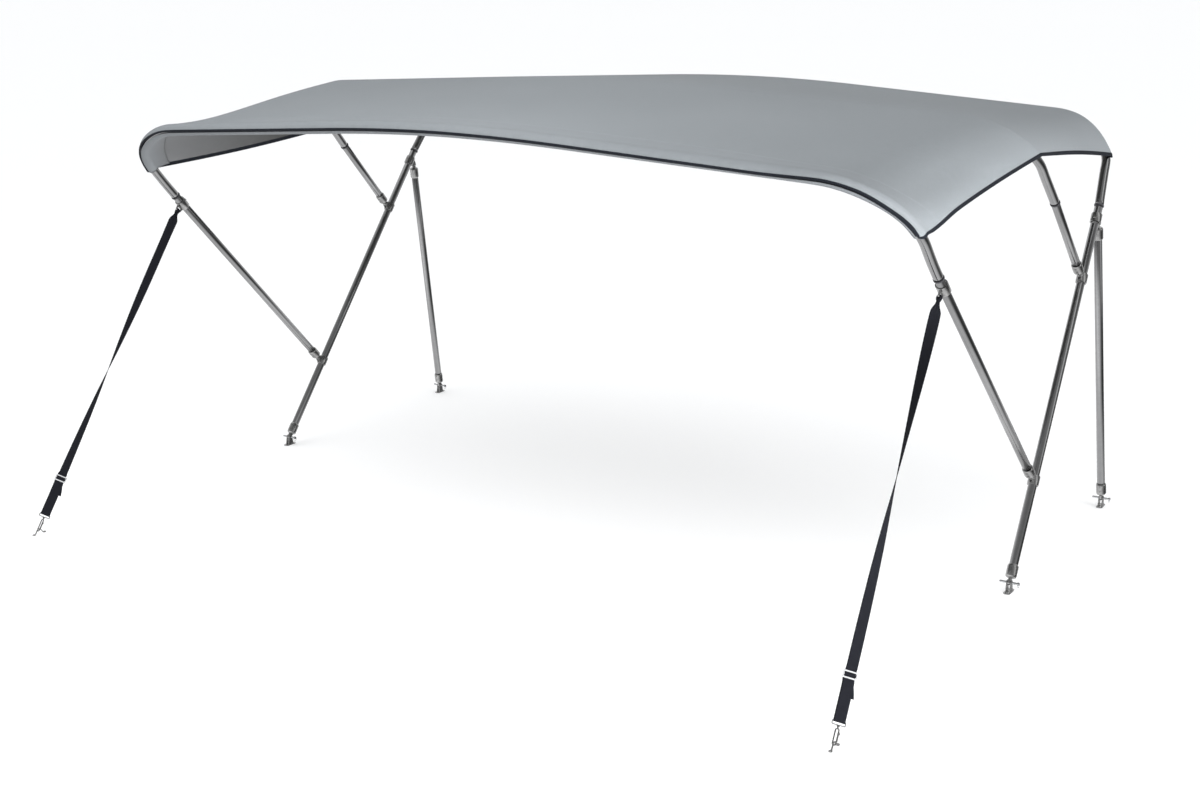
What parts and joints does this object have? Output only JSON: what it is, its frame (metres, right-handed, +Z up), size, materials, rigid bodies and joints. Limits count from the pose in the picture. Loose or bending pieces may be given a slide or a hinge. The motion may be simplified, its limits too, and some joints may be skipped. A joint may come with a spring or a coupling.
{
  "type": "bimini top with bows, poles and straps",
  "caption": "Folding boat sunshade: a taut fabric roof on bent tube bows, with rear poles, deck hinges and front hold-down straps.",
  "frame": {"origin": "on the deck, under the middle of the whole object", "axes": "+Z up, -Y to the boat's bow where the straps are, +X to the right when seen from the front with the straps nearest"},
  "size_m": [2.45, 1.8932, 1.2129],
  "materials": {
    "canopy_cloth": "matt woven canvas",
    "binding_cloth": "matt black tape",
    "tube": "satin",
    "steel_fittings": "polished with soft marks",
    "bright_fittings": "bright",
    "strap_webbing": "woven webbing"
  },
  "bodies": {
    "root": {"canopy": "canopy_cloth", "edge_binding": "binding_cloth", "front_bow_pocket": "canopy_cloth", "front_bow_arch": "tube", "mid_bow_arch": "tube", "main_bow_arch": "tube", "main_leg_right": "tube", "main_leg_eye_end_right": "steel_fittings", "front_leg_right": "tube", "front_leg_eye_end_right": "steel_fittings", "mid_leg_right": "tube", "mid_leg_eye_end_right": "steel_fittings", "rear_pole_right": "tube", "rear_pole_foot_end_right": "steel_fittings", "rear_pole_top_end_right": "steel_fittings", "front_clamp_right": "steel_fittings", "mid_clamp_right": "steel_fittings", "rear_clamp_right": "steel_fittings", "main_deck_hinge_right": "steel_fittings", "main_hinge_pin_right": "steel_fittings", "pole_deck_hinge_right": "steel_fittings", "pole_hinge_pin_right": "steel_fittings", "main_leg_left": "tube", "main_leg_eye_end_left": "steel_fittings", "front_leg_left": "tube", "front_leg_eye_end_left": "steel_fittings", "mid_leg_left": "tube", "mid_leg_eye_end_left": "steel_fittings", "rear_pole_left": "tube", "rear_pole_foot_end_left": "steel_fittings", "rear_pole_top_end_left": "steel_fittings", "front_clamp_left": "steel_fittings", "mid_clamp_left": "steel_fittings", "rear_clamp_left": "steel_fittings", "main_deck_hinge_left": "steel_fittings", "main_hinge_pin_left": "steel_fittings", "pole_deck_hinge_left": "steel_fittings", "pole_hinge_pin_left": "steel_fittings", "strap_clamp_right": "steel_fittings", "strap_right": "strap_webbing", "strap_buckle_right": "bright_fittings", "snap_hook_right": "bright_fittings", "pad_eye_right": "steel_fittings", "strap_clamp_left": "steel_fittings", "strap_left": "strap_webbing", "strap_buckle_left": "bright_fittings", "snap_hook_left": "bright_fittings", "pad_eye_left": "steel_fittings"}
  },
  "joints": []
}
